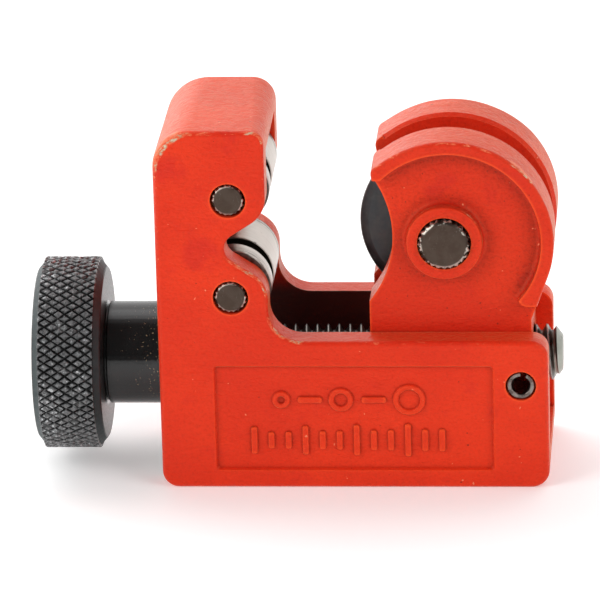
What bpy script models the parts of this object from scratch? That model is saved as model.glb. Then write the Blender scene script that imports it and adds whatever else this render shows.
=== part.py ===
"""Mini tube cutter: a cast channel body with two rollers, and a cutter head pulled along by a feed screw.

Metres, +Z up. X runs along the feed screw from the knob to the open end of the channel, Y = 0 is the
mid-plane, and Z = 0 is the flat underside of the body. The origin is under the middle of the whole tool.
"""

import math

import bmesh
import bpy
from mathutils import Vector

# Overall lengths along X
KNOB_WIDTH = 0.00625
HUB_LENGTH = 0.0054
BODY_LENGTH = 0.0352
SCREW_OVERHANG = 0.0011
OVERALL_LENGTH = KNOB_WIDTH + HUB_LENGTH + BODY_LENGTH + SCREW_OVERHANG
BODY_LEFT = KNOB_WIDTH + HUB_LENGTH - OVERALL_LENGTH / 2
BODY_RIGHT = BODY_LEFT + BODY_LENGTH

# Body casting
BODY_DEPTH = 0.0162
BODY_HEIGHT = 0.0341
CHEEK_RIGHT = BODY_LEFT + 0.01005
CHANNEL_TOP = 0.0141
CHANNEL_WIDTH = 0.01075
CHANNEL_FLOOR = 0.0028
END_WALL = 0.0075
BACK_WALL = 0.0027
TOP_WALL = 0.0025
POCKET_FLOOR = 0.0143
BODY_EDGE = 0.0005

# Rollers
ROLLER_X = BODY_LEFT + 0.0067
ROLLER_HEIGHTS = {"lower": 0.01836, "upper": 0.0276}
ROLLER_RADIUS = 0.0035
ROLLER_LENGTH = 0.010
ROLLER_SHIFT = {"lower": -0.0003, "upper": 0.0003}
ROLLER_NOSE = 0.002
ROLLER_GROOVE_WIDTH = 0.0017
ROLLER_GROOVE_DEPTH = 0.0008
ROLLER_PIN_RADIUS = 0.00145
ROLLER_PIN_HOLE = 0.0016

# Throat notch between the two lobes that carry the rollers
NOTCH_MIDDLE = (ROLLER_HEIGHTS["lower"] + ROLLER_HEIGHTS["upper"]) / 2
NOTCH_DEPTH = 0.00496
NOTCH_HALF_HEIGHT = 0.00322

# Feed screw with a thread of 1 mm pitch
SCREW_HEIGHT = 0.01016
SCREW_RADIUS = 0.0026
SCREW_BORE = 0.00275
SCREW_RIGHT = OVERALL_LENGTH / 2
KNOB_RADIUS = 0.00878
KNOB_CHAMFER = 0.00065
KNOB_FACE_RADIUS = 0.00775
HUB_RADIUS = 0.00468
RUNNING_GAP = 0.0001
PRESS_GAP = 0.00006

# Cutter head
WHEEL_X = BODY_LEFT + 0.02595
WHEEL_HEIGHT = NOTCH_MIDDLE
WHEEL_RADIUS = 0.0079
WHEEL_PIN_RADIUS = 0.0023
WHEEL_PIN_LENGTH = 0.0142
HEAD_ARC_X = WHEEL_X + 0.0003
HEAD_RADIUS = 0.00955
HEAD_WIDTH = 0.013
HEAD_TIP_ANGLE = 135
HEAD_FLANK_ANGLE = -20
HEAD_TIP_X = BODY_LEFT + 0.01945
HEAD_TIP_BOTTOM = 0.0289
RIM_WIDTH = 0.00085
BOSS_RADIUS = 0.0036
BOSS_WIDTH = 0.0132
SLOT_WIDTH = 0.0036
SLOT_FLOOR = 0.0146
SLIDER_LEFT = BODY_LEFT + 0.01905
SLIDER_RIGHT = BODY_LEFT + 0.03365
SLIDER_WIDTH = 0.0106
SLIDER_BOTTOM = CHANNEL_FLOOR + RUNNING_GAP
SLIDER_SHOULDER = 0.0153
SHOULDER_GAP = 0.0002
BITE_RADIUS = 0.010
BITE_X = BODY_LEFT + 0.01125
BITE_HEIGHT = 0.0233
OPENING_TRAVEL = 0.0071

# Stop pin and the groove in the slider that it runs in
STOP_PIN_X = BODY_LEFT + 0.0327
STOP_PIN_HEIGHT = 0.00986
STOP_PIN_RADIUS = 0.00125
STOP_PIN_WALL = 0.0004
STOP_PIN_HOLE = 0.00135
STOP_GROOVE_DEPTH = 0.0011

# Retaining ring
RING_RADIUS = 0.0042
RING_THICKNESS = 0.0007
RING_X = BODY_LEFT + END_WALL + RUNNING_GAP
RING_SEAT_RADIUS = 0.0021

# Label panel on the front face
PANEL_LEFT = BODY_LEFT + 0.0051
PANEL_LENGTH = 0.025
PANEL_BOTTOM = 0.00188
PANEL_HEIGHT = 0.00976
PANEL_DEPTH = 0.00035

RED_PAINT = ("red_paint", (0.80, 0.05, 0.025, 1), 0.4, 0.0)
GROUND_STEEL = ("ground_steel", (0.62, 0.60, 0.56, 1), 0.25, 1.0)
DARK_STEEL = ("dark_steel", (0.13, 0.12, 0.11, 1), 0.45, 1.0)
BLACK_OXIDE = ("black_oxide", (0.03, 0.03, 0.03, 1), 0.4, 1.0)
TOOL_STEEL = ("tool_steel", (0.10, 0.10, 0.10, 1), 0.35, 1.0)
ZINC_PLATE = ("zinc_plate", (0.55, 0.54, 0.50, 1), 0.3, 1.0)
SPRING_STEEL = ("spring_steel", (0.30, 0.27, 0.25, 1), 0.35, 1.0)

ALONG_X = (0, math.pi / 2, 0)
ALONG_Y = (-math.pi / 2, 0, 0)


def finish_material(finish):
    name, colour, roughness, metallic = finish
    material = bpy.data.materials.new(name)
    material.use_nodes = True
    shader = material.node_tree.nodes["Principled BSDF"]
    shader.inputs["Base Color"].default_value = colour
    shader.inputs["Roughness"].default_value = roughness
    shader.inputs["Metallic"].default_value = metallic
    return material


def piece(name, shape, finish=None, location=(0, 0, 0), rotation=(0, 0, 0)):
    """Object made from a bmesh. With no finish it is a cutter or a tool, which is never rendered."""
    bmesh.ops.recalc_face_normals(shape, faces=shape.faces)
    mesh = bpy.data.meshes.new(name)
    shape.to_mesh(mesh)
    shape.free()
    made = bpy.data.objects.new(name, mesh)
    made.location = location
    made.rotation_euler = rotation
    bpy.context.scene.collection.objects.link(made)
    if finish:
        mesh.materials.append(finish_material(finish))
        mesh.shade_smooth()
        mesh.set_sharp_from_angle(angle=math.radians(30))
    else:
        made.hide_render = True
        made.display_type = "WIRE"
    return made


def arc(centre_x, centre_z, radius, start, end, steps):
    """Points on an arc, from start to end in degrees, anticlockwise when end is the larger."""
    points = []
    for step in range(steps + 1):
        angle = math.radians(start + (end - start) * step / steps)
        points.append((centre_x + radius * math.cos(angle), centre_z + radius * math.sin(angle)))
    return points


def rounded(corners, steps=6):
    """Closed outline through (x, z, radius) corners, each rounded by a tangent arc of its radius."""
    points = []
    for index, (x, z, radius) in enumerate(corners):
        here = Vector((x, z))
        if radius == 0:
            points.append((x, z))
            continue
        back = (Vector(corners[index - 1][:2]) - here).normalized()
        onward = (Vector(corners[(index + 1) % len(corners)][:2]) - here).normalized()
        half_angle = math.acos(back.dot(onward)) / 2
        centre = here + (back + onward).normalized() * radius / math.sin(half_angle)
        reach = radius / math.tan(half_angle)
        first = here + back * reach - centre
        last = here + onward * reach - centre
        start = math.degrees(math.atan2(first.y, first.x))
        sweep = math.degrees(math.atan2(last.y, last.x)) - start
        sweep = (sweep + 180) % 360 - 180
        points += arc(centre.x, centre.y, radius, start, start + sweep, steps)
    return points


def prism(outline, low, high):
    """Bmesh of an (x, z) outline extruded along Y from low to high."""
    shape = bmesh.new()
    face = shape.faces.new([shape.verts.new((x, low, z)) for x, z in outline])
    grown = bmesh.ops.extrude_face_region(shape, geom=[face])["geom"]
    moved = [part for part in grown if isinstance(part, bmesh.types.BMVert)]
    bmesh.ops.translate(shape, verts=moved, vec=(0, high - low, 0))
    return shape


def turned(profile, sides=48, hollow=False):
    """Bmesh of a profile turned about Z.

    The profile lists (radius, height, notch): every second point of a ring lies deeper by the notch,
    which makes serrations. A solid starts and ends with radius 0, and a hollow profile is a closed loop.
    """
    shape = bmesh.new()
    rings = []
    for radius, height, notch in profile:
        if radius == 0:
            rings.append([shape.verts.new((0, 0, height))] * sides)
            continue
        ring = []
        for side in range(sides):
            angle = 2 * math.pi * side / sides
            reach = radius - notch * (side % 2)
            ring.append(shape.verts.new((reach * math.cos(angle), reach * math.sin(angle), height)))
        rings.append(ring)
    pairs = list(zip(rings, rings[1:]))
    if hollow:
        pairs.append((rings[-1], rings[0]))
    for lower, upper in pairs:
        for side in range(sides):
            after = (side + 1) % sides
            corners = [lower[side], lower[after], upper[after], upper[side]]
            shape.faces.new(list(dict.fromkeys(corners)))
    return shape


def rod(radius, low, high, sides=48):
    """Bmesh of a plain cylinder about Z."""
    return turned([(0, low, 0), (radius, low, 0), (radius, high, 0), (0, high, 0)], sides)


def serrated_pin(radius, length, teeth):
    """Bmesh of a pin about Z with a smooth shank and a serrated, chamfered length at each end."""
    crest = radius * 1.035
    notch = radius * 0.08
    chamfer = 0.00015
    grip = length / 2 - 0.0024
    end = length / 2
    half = [
        (0, end, 0),
        (crest - chamfer * 1.6, end, 0),
        (crest, end - chamfer, notch),
        (crest, grip, notch),
        (radius, grip - chamfer, 0),
    ]
    return turned([(r, -z, notch) for r, z, notch in half] + half[::-1], sides=2 * teeth)


def gapped_ring(outer, inner, gap_middle, gap_angle, steps):
    """Closed (x, z) outline of a ring that is open by gap_angle degrees about gap_middle degrees."""
    start = gap_middle + gap_angle / 2
    end = gap_middle - gap_angle / 2 + 360
    return arc(0, 0, outer, start, end, steps) + arc(0, 0, inner, end, start, steps)


def apply_tool(target, tool, operation):
    boolean = target.modifiers.new(tool.name, "BOOLEAN")
    boolean.operation = operation
    boolean.object = tool
    boolean.solver = "EXACT"


def make_body():
    outline = rounded([
        (BODY_LEFT, 0, 0.0015),
        (BODY_RIGHT, 0, 0.0016),
        (BODY_RIGHT, CHANNEL_TOP, 0.0015),
        (CHEEK_RIGHT, CHANNEL_TOP, 0.003),
        (CHEEK_RIGHT, NOTCH_MIDDLE - NOTCH_HALF_HEIGHT, 0.00295),
        (CHEEK_RIGHT - NOTCH_DEPTH, NOTCH_MIDDLE, 0.0014),
        (CHEEK_RIGHT, NOTCH_MIDDLE + NOTCH_HALF_HEIGHT, 0.00295),
        (CHEEK_RIGHT, BODY_HEIGHT, 0.001),
        (BODY_LEFT, BODY_HEIGHT, 0.0034),
    ])
    body = piece("body", prism(outline, -BODY_DEPTH / 2, BODY_DEPTH / 2), RED_PAINT)
    rounding = body.modifiers.new("edge rounding", "BEVEL")
    rounding.width = BODY_EDGE
    rounding.segments = 2
    rounding.limit_method = "ANGLE"
    rounding.angle_limit = math.radians(60)

    beyond = BODY_RIGHT + 0.005
    wall_face = BODY_LEFT + END_WALL
    hollow = rounded([
        (wall_face, CHANNEL_FLOOR, 0.0005),
        (beyond, CHANNEL_FLOOR, 0),
        (beyond, BODY_HEIGHT - TOP_WALL, 0),
        (BODY_LEFT + BACK_WALL, BODY_HEIGHT - TOP_WALL, 0.0008),
        (BODY_LEFT + BACK_WALL, POCKET_FLOOR, 0.0008),
        (wall_face, POCKET_FLOOR, 0.0005),
    ], steps=3)
    channel = piece("body channel", prism(hollow, -CHANNEL_WIDTH / 2, CHANNEL_WIDTH / 2))
    apply_tool(body, channel, "DIFFERENCE")

    screw_hole = piece("body screw hole", rod(SCREW_BORE, -0.001, END_WALL + 0.001),
                       location=(BODY_LEFT, 0, SCREW_HEIGHT), rotation=ALONG_X)
    apply_tool(body, screw_hole, "DIFFERENCE")

    for name, height in ROLLER_HEIGHTS.items():
        pin_hole = piece(f"body {name} pin hole", rod(ROLLER_PIN_HOLE, -BODY_DEPTH, BODY_DEPTH, sides=32),
                         location=(ROLLER_X, 0, height), rotation=ALONG_Y)
        apply_tool(body, pin_hole, "DIFFERENCE")

    stop_hole = piece("body stop pin hole", rod(STOP_PIN_HOLE, -BODY_DEPTH, -CHANNEL_WIDTH / 4, sides=32),
                      location=(STOP_PIN_X, 0, STOP_PIN_HEIGHT), rotation=ALONG_Y)
    apply_tool(body, stop_hole, "DIFFERENCE")

    panel_outline = rounded([
        (PANEL_LEFT, PANEL_BOTTOM, 0.0002),
        (PANEL_LEFT + PANEL_LENGTH, PANEL_BOTTOM, 0.0002),
        (PANEL_LEFT + PANEL_LENGTH, PANEL_BOTTOM + PANEL_HEIGHT, 0.0002),
        (PANEL_LEFT, PANEL_BOTTOM + PANEL_HEIGHT, 0.0002),
    ], steps=2)
    panel = piece("body label panel", prism(panel_outline, -BODY_DEPTH, -BODY_DEPTH / 2 + PANEL_DEPTH))
    apply_tool(body, panel, "DIFFERENCE")


def head_arc(radius):
    """Round right side and top of the cutter head, from the flank up and over to the tip."""
    return arc(HEAD_ARC_X, WHEEL_HEIGHT, radius, HEAD_FLANK_ANGLE, HEAD_TIP_ANGLE, steps=40)


def make_slider():
    bite_top = math.degrees(math.asin((HEAD_TIP_BOTTOM - BITE_HEIGHT) / BITE_RADIUS))
    bite_bottom = -math.degrees(math.acos((SLIDER_LEFT - BITE_X) / BITE_RADIUS))
    outline = [(SLIDER_LEFT, SLIDER_BOTTOM), (SLIDER_RIGHT, SLIDER_BOTTOM), (SLIDER_RIGHT, SLIDER_SHOULDER)]
    outline += head_arc(HEAD_RADIUS)
    outline += [(HEAD_TIP_X, outline[-1][1] - SHOULDER_GAP)]
    outline += arc(BITE_X, BITE_HEIGHT, BITE_RADIUS, bite_top, bite_bottom, steps=16)
    slider = piece("slider", prism(outline, -HEAD_WIDTH / 2, HEAD_WIDTH / 2), RED_PAINT)

    left = SLIDER_LEFT - 0.005
    right = SLIDER_RIGHT + 0.005
    shoulder = SLIDER_SHOULDER - SHOULDER_GAP
    inside = [(left, 0), (right, 0), (right, shoulder), (SLIDER_RIGHT - SHOULDER_GAP, shoulder)]
    inside += head_arc(HEAD_RADIUS - RIM_WIDTH)
    inside += [(left, inside[-1][1])]
    for side, name in ((-1, "front"), (1, "rear")):
        low, high = sorted((side * SLIDER_WIDTH / 2, side * HEAD_WIDTH))
        face = piece(f"slider {name} face", prism(inside, low, high))
        apply_tool(slider, face, "DIFFERENCE")

    boss = piece("slider boss", rod(BOSS_RADIUS, -BOSS_WIDTH / 2, BOSS_WIDTH / 2),
                 location=(WHEEL_X, 0, WHEEL_HEIGHT), rotation=ALONG_Y)
    apply_tool(slider, boss, "UNION")

    slot_outline = [(left, SLOT_FLOOR), (right, SLOT_FLOOR), (right, BODY_HEIGHT), (left, BODY_HEIGHT)]
    slot = piece("slider slot", prism(slot_outline, -SLOT_WIDTH / 2, SLOT_WIDTH / 2))
    apply_tool(slider, slot, "DIFFERENCE")

    axle_hole = piece("slider axle hole", rod(WHEEL_PIN_RADIUS * 1.06, -BODY_DEPTH, BODY_DEPTH, sides=40),
                      location=(WHEEL_X, 0, WHEEL_HEIGHT), rotation=ALONG_Y)
    apply_tool(slider, axle_hole, "DIFFERENCE")

    feed_hole = piece("slider feed hole", rod(SCREW_BORE, left, right),
                      location=(0, 0, SCREW_HEIGHT), rotation=ALONG_X)
    apply_tool(slider, feed_hole, "DIFFERENCE")

    half_height = STOP_PIN_RADIUS + 2 * RUNNING_GAP
    groove_end = STOP_PIN_X - STOP_PIN_RADIUS - OPENING_TRAVEL - RUNNING_GAP
    groove_outline = [
        (groove_end, STOP_PIN_HEIGHT - half_height),
        (right, STOP_PIN_HEIGHT - half_height),
        (right, STOP_PIN_HEIGHT + half_height),
        (groove_end, STOP_PIN_HEIGHT + half_height),
    ]
    face_y = -SLIDER_WIDTH / 2
    groove = piece("slider stop groove", prism(groove_outline, face_y - 0.001, face_y + STOP_GROOVE_DEPTH))
    apply_tool(slider, groove, "DIFFERENCE")


def make_rollers():
    half = ROLLER_LENGTH / 2
    bore = ROLLER_PIN_RADIUS + RUNNING_GAP
    chamfer = 0.0002
    groove_front = ROLLER_NOSE - half
    groove_rear = groove_front + ROLLER_GROOVE_WIDTH
    floor = ROLLER_RADIUS - ROLLER_GROOVE_DEPTH
    profile = [
        (bore, -half, 0),
        (ROLLER_RADIUS - chamfer, -half, 0),
        (ROLLER_RADIUS, -half + chamfer, 0),
        (ROLLER_RADIUS, groove_front, 0),
        (floor, groove_front, 0),
        (floor, groove_rear, 0),
        (ROLLER_RADIUS, groove_rear, 0),
        (ROLLER_RADIUS, half - chamfer, 0),
        (ROLLER_RADIUS - chamfer, half, 0),
        (bore, half, 0),
    ]
    for name, height in ROLLER_HEIGHTS.items():
        roller_place = (ROLLER_X, ROLLER_SHIFT[name], height)
        piece(f"{name}_roller", turned(profile, 40, hollow=True), GROUND_STEEL, roller_place, ALONG_Y)
        pin = serrated_pin(ROLLER_PIN_RADIUS, BODY_DEPTH - RUNNING_GAP, teeth=18)
        piece(f"{name}_roller_pin", pin, DARK_STEEL, (ROLLER_X, 0, height), ALONG_Y)


def make_wheel():
    bore = WHEEL_PIN_RADIUS + RUNNING_GAP
    hub_radius = 0.0036
    hub_half = SLOT_WIDTH / 2 - 0.00015
    disc_half = 0.0005
    bevel = 0.0011
    half = [
        (bore, hub_half, 0),
        (hub_radius, hub_half, 0),
        (hub_radius, disc_half, 0),
        (WHEEL_RADIUS - bevel, disc_half, 0),
        (WHEEL_RADIUS, 0.00003, 0),
    ]
    profile = [(r, -z, notch) for r, z, notch in half] + half[::-1]
    place = (WHEEL_X, 0, WHEEL_HEIGHT)
    piece("cutter_wheel", turned(profile, 72, hollow=True), TOOL_STEEL, place, ALONG_Y)
    pin = serrated_pin(WHEEL_PIN_RADIUS, WHEEL_PIN_LENGTH, teeth=24)
    piece("cutter_wheel_pin", pin, DARK_STEEL, place, ALONG_Y)


def make_screw():
    blind_end = BODY_LEFT - HUB_LENGTH - KNOB_WIDTH + 0.0022
    ring_left = RING_X - PRESS_GAP
    ring_right = RING_X + RING_THICKNESS + PRESS_GAP
    end_chamfer = 0.0008
    tip_radius = 0.0019
    profile = [
        (0, blind_end, 0),
        (SCREW_RADIUS - 0.0003, blind_end, 0),
        (SCREW_RADIUS, blind_end + 0.0003, 0),
        (SCREW_RADIUS, ring_left, 0),
        (RING_SEAT_RADIUS, ring_left, 0),
        (RING_SEAT_RADIUS, ring_right, 0),
        (SCREW_RADIUS, ring_right, 0),
        (SCREW_RADIUS, SCREW_RIGHT - end_chamfer, 0),
        (tip_radius, SCREW_RIGHT, 0),
        (0, SCREW_RIGHT, 0),
    ]
    piece("feed_screw", turned(profile, 40), ZINC_PLATE, (0, 0, SCREW_HEIGHT), ALONG_X)

    outer = BODY_LEFT - HUB_LENGTH - KNOB_WIDTH
    inner = outer + KNOB_WIDTH
    bore = SCREW_RADIUS + PRESS_GAP
    relief = 0.0004
    hub_end = BODY_LEFT - RUNNING_GAP
    knob_profile = [
        (0, outer, 0),
        (KNOB_FACE_RADIUS, outer, 0),
        (KNOB_RADIUS, outer + KNOB_CHAMFER, 0),
        (KNOB_RADIUS, inner - KNOB_CHAMFER, 0),
        (KNOB_FACE_RADIUS, inner, 0),
        (HUB_RADIUS - relief, inner, 0),
        (HUB_RADIUS - relief, inner + relief, 0),
        (HUB_RADIUS, inner + relief, 0),
        (HUB_RADIUS, hub_end, 0),
        (bore, hub_end, 0),
        (bore, blind_end - PRESS_GAP, 0),
        (0, blind_end - PRESS_GAP, 0),
    ]
    piece("knob", turned(knob_profile, 56), BLACK_OXIDE, (0, 0, SCREW_HEIGHT), ALONG_X)

    ring = gapped_ring(RING_RADIUS, RING_SEAT_RADIUS + PRESS_GAP, gap_middle=-90, gap_angle=50, steps=20)
    piece("retaining_ring", prism(ring, 0, -RING_THICKNESS), SPRING_STEEL,
          (RING_X, 0, SCREW_HEIGHT), (0, 0, math.pi / 2))


def make_stop_pin():
    bore = STOP_PIN_RADIUS - STOP_PIN_WALL
    outline = gapped_ring(STOP_PIN_RADIUS, bore, gap_middle=77, gap_angle=30, steps=20)
    front = -BODY_DEPTH / 2 + 0.00015
    inner_end = -SLIDER_WIDTH / 2 + STOP_GROOVE_DEPTH - 2 * RUNNING_GAP
    piece("stop_pin", prism(outline, front, inner_end), SPRING_STEEL, (STOP_PIN_X, 0, STOP_PIN_HEIGHT))


def main():
    for old in list(bpy.data.objects):
        bpy.data.objects.remove(old)
    make_body()
    make_slider()
    make_rollers()
    make_wheel()
    make_screw()
    make_stop_pin()


main()
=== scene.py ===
import math

import bmesh
import bpy
from mathutils import Matrix, Vector, noise


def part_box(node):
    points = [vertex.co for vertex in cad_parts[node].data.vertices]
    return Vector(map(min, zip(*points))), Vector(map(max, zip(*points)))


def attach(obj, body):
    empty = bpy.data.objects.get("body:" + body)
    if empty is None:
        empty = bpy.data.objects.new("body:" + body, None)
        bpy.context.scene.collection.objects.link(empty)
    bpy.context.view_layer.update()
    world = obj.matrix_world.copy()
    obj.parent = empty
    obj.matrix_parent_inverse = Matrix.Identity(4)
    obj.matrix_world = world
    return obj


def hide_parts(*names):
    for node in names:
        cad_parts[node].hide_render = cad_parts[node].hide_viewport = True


# Looks of the mini tube cutter. Metres, +Z up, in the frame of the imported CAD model: X runs along the
# feed screw from the knob to the open end of the channel, and Y = 0 is the mid-plane.

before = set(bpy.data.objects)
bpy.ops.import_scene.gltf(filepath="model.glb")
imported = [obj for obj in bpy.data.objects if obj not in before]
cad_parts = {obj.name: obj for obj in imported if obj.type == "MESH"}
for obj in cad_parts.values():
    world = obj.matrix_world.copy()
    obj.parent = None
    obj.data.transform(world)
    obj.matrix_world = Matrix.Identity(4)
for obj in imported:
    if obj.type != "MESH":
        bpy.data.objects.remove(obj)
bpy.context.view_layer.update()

MM = 0.001
ALONG_X = (0, math.pi / 2, 0)
ALONG_Y = (-math.pi / 2, 0, 0)
NO_FILLET = 0.0001 * MM


def middle(node):
    low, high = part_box(node)
    return (low + high) / 2


# Places and overall sizes, all taken from the frame
BODY_LOW, BODY_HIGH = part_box("body")
SLIDER_LOW, SLIDER_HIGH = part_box("slider")
SCREW_LOW, SCREW_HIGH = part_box("feed_screw")
KNOB_LOW, KNOB_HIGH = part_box("knob")
RING_LOW, RING_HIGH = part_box("retaining_ring")
STOP_LOW, STOP_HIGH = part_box("stop_pin")
WHEEL_LOW, WHEEL_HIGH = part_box("cutter_wheel")
AXLE_LOW, AXLE_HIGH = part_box("cutter_wheel_pin")
ROLLER_LOW, ROLLER_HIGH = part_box("lower_roller")
LOWER_PIN = middle("lower_roller_pin")
UPPER_PIN = middle("upper_roller_pin")
PIN_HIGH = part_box("lower_roller_pin")[1]
AXLE = middle("cutter_wheel_pin")
STOP = middle("stop_pin")
SCREW_Z = middle("feed_screw").z
ON_SCREW = ((0, 0, SCREW_Z), ALONG_X)
LEFT = BODY_LOW.x
RIGHT = BODY_HIGH.x
HALF_DEPTH = BODY_HIGH.y
TOP = BODY_HIGH.z

# Body casting
CHEEK_RIGHT = LEFT + 10.05 * MM
CHANNEL_TOP = 14.1 * MM
CHANNEL_HALF = 5.375 * MM
CHANNEL_FLOOR = 2.8 * MM
END_WALL = 7.5 * MM
BACK_WALL = 2.7 * MM
TOP_WALL = 2.5 * MM
POCKET_FLOOR = 14.3 * MM
NOTCH_Z = (LOWER_PIN.z + UPPER_PIN.z) / 2
NOTCH_DEPTH = 4.96 * MM
NOTCH_HALF = 3.22 * MM
BODY_FILLET = 0.42 * MM
PIN_HOLE = 1.6 * MM
STOP_HOLE = 1.38 * MM
SCREW_HOLE = 2.75 * MM
PANEL_LEFT = LEFT + 5.1 * MM
PANEL_RIGHT = PANEL_LEFT + 25 * MM
PANEL_BOTTOM = 1.88 * MM
PANEL_TOP = PANEL_BOTTOM + 9.76 * MM
PANEL_DEPTH = 0.34 * MM
PANEL_SLOPE = 0.16 * MM

# Cutter head
SLIDER_HALF = 5.3 * MM
HEAD_HALF = 6.5 * MM
HEAD_CENTRE = Vector((AXLE.x + 0.3 * MM, AXLE.z))
HEAD_RADIUS = SLIDER_HIGH.x - HEAD_CENTRE.x
SLIDER_RIGHT = LEFT + 33.65 * MM
RIM_WIDTH = 1.15 * MM
RIM_END = 17.1 * MM
RECESS_FILLET = 0.55 * MM
BOSS_RADIUS = 3.42 * MM
BOSS_FOOT = 3.95 * MM
AXLE_HOLE = 2.43 * MM
SLOT_HALF = 1.8 * MM
SLOT_FLOOR = 14.6 * MM
TIP_X = LEFT + 19.45 * MM
TIP_BOTTOM = 28.9 * MM
ARC_END = 124
BITE_CENTRE = Vector((LEFT + 11.25 * MM, 23.3 * MM))
BITE_RADIUS = 10 * MM
SHOULDER_Z = 15.3 * MM

# Studio
BACKDROP = 1.08
DARK_ROOM = 0.10
LEFT_GLOW = 2.8
SIDE_POWER = 2.0
TOP_POWER = 0.50

# Turned parts
ROLLER_RADIUS = (ROLLER_HIGH.z - ROLLER_LOW.z) / 2
ROLLER_HALF = (ROLLER_HIGH.y - ROLLER_LOW.y) / 2
GROOVE_HALF = 0.85 * MM
GROOVE_MIDDLE = 2.85 * MM - ROLLER_HALF
WHEEL_RADIUS = (WHEEL_HIGH.z - WHEEL_LOW.z) / 2
THREAD_RADIUS = 2.56 * MM
THREAD_PITCH = 1.0 * MM
THREAD_DEPTH = 0.56 * MM
SHANK_RADIUS = 2.6 * MM
RING_SEAT_RADIUS = 2.1 * MM
SCREW_TIP_RADIUS = 1.65 * MM
KNOB_RADIUS = (KNOB_HIGH.z - KNOB_LOW.z) / 2
KNOB_RIGHT = KNOB_LOW.x + 6.25 * MM
KNOB_CHAMFER = 0.65 * MM
HUB_RADIUS = 4.68 * MM


# Shapes

def arc(centre, radius, start, end, steps):
    """Points on an arc, from start to end in degrees, anticlockwise when end is the larger."""
    points = []
    for step in range(steps + 1):
        angle = math.radians(start + (end - start) * step / steps)
        points.append((centre[0] + radius * math.cos(angle), centre[1] + radius * math.sin(angle)))
    return points


def rounded(corners, steps=8):
    """Closed outline through (x, z, radius) corners, each rounded by a tangent arc of its radius."""
    points = []
    for index, (x, z, radius) in enumerate(corners):
        here = Vector((x, z))
        if radius == 0:
            points.append((x, z))
            continue
        back = (Vector(corners[index - 1][:2]) - here).normalized()
        onward = (Vector(corners[(index + 1) % len(corners)][:2]) - here).normalized()
        half_angle = math.acos(back.dot(onward)) / 2
        centre = here + (back + onward).normalized() * radius / math.sin(half_angle)
        reach = radius / math.tan(half_angle)
        first = here + back * reach - centre
        last = here + onward * reach - centre
        start = math.degrees(math.atan2(first.y, first.x))
        sweep = math.degrees(math.atan2(last.y, last.x)) - start
        sweep = (sweep + 180) % 360 - 180
        points += arc(centre, radius, start, start + sweep, steps)
    return points


def rounded_box(left, right, bottom, top, radius, steps):
    """Closed outline of a rectangle with rounded corners."""
    corners = ((left, bottom), (right, bottom), (right, top), (left, top))
    return rounded([(x, z, radius) for x, z in corners], steps)


def inward_normals(outline):
    """Unit normals that point into an anticlockwise outline."""
    normals = []
    for index, point in enumerate(outline):
        here = Vector(point)
        before = (here - Vector(outline[index - 1])).normalized()
        after = (Vector(outline[(index + 1) % len(outline)]) - here).normalized()
        along = (before + after).normalized()
        normals.append(Vector((-along.y, along.x)) / max(0.5, along.dot(after)))
    return normals


def polar(radius, angle, height):
    return radius * math.cos(angle), radius * math.sin(angle), height


def join_rings(shape, lower, upper):
    """Fills the strip between two closed rings of vertices, with triangles where a side is one point."""
    for side in range(len(lower)):
        after = (side + 1) % len(lower)
        corners = (lower[side], lower[after], upper[after], upper[side])
        shape.faces.new(list(dict.fromkeys(corners)))


def loft(rings):
    """Bmesh through rings of equal length, closed by a face at each end."""
    shape = bmesh.new()
    made = [[shape.verts.new(point) for point in ring] for ring in rings]
    for lower, upper in zip(made, made[1:]):
        join_rings(shape, lower, upper)
    shape.faces.new(made[0])
    shape.faces.new(made[-1][::-1])
    return shape


def softened_prism(outline, low, high, low_fillet, high_fillet, steps=5, widen=None, high_outline=None):
    """Bmesh of an (x, z) outline extruded along Y, with a quarter-round fillet at each end.

    widen(x, z, side) may return a factor that makes the fillet larger at that point of the outline; side
    is 1 at the low end and -1 at the high end.
    high_outline is the outline at the high end, where that differs, with as many points.
    """
    rings = []
    ends = ((outline, low, 1, low_fillet), (high_outline or outline, high, -1, high_fillet))
    for shown, end, side, fillet in ends:
        normals = inward_normals(shown)
        stack = []
        for step in range(steps + 1):
            angle = math.pi / 2 * step / steps
            ring = []
            for (x, z), normal in zip(shown, normals):
                size = fillet
                if widen:
                    size *= widen(x, z, side)
                inset = size * (1 - math.sin(angle))
                depth = size * (1 - math.cos(angle))
                ring.append((x + normal.x * inset, end + side * depth, z + normal.y * inset))
            stack.append(ring)
        rings += stack if side == 1 else stack[::-1]
    return loft(rings)


def prism(outline, low, high):
    """Bmesh of an (x, z) outline extruded along Y from low to high."""
    return loft([[(x, y, z) for x, z in outline] for y in (low, high)])


def turned(profile, sides=96, hollow=False):
    """Bmesh of a profile turned about Z.

    The profile lists (radius, height) or (radius, height, notch): every second point of a ring lies
    deeper by the notch, which makes serrations. A solid starts and ends with radius 0, and a hollow
    profile is a closed loop.
    """
    shape = bmesh.new()
    rings = []
    for radius, height, *notch in profile:
        if radius == 0:
            rings.append([shape.verts.new((0, 0, height))] * sides)
            continue
        ring = []
        for side in range(sides):
            angle = 2 * math.pi * side / sides
            reach = radius - (notch[0] * (side % 2) if notch else 0)
            ring.append(shape.verts.new(polar(reach, angle, height)))
        rings.append(ring)
    pairs = list(zip(rings, rings[1:]))
    if hollow:
        pairs.append((rings[-1], rings[0]))
    for lower, upper in pairs:
        join_rings(shape, lower, upper)
    return shape


def rod(radius, low, high, sides=96):
    return turned([(0, low), (radius, low), (radius, high), (0, high)], sides)


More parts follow.
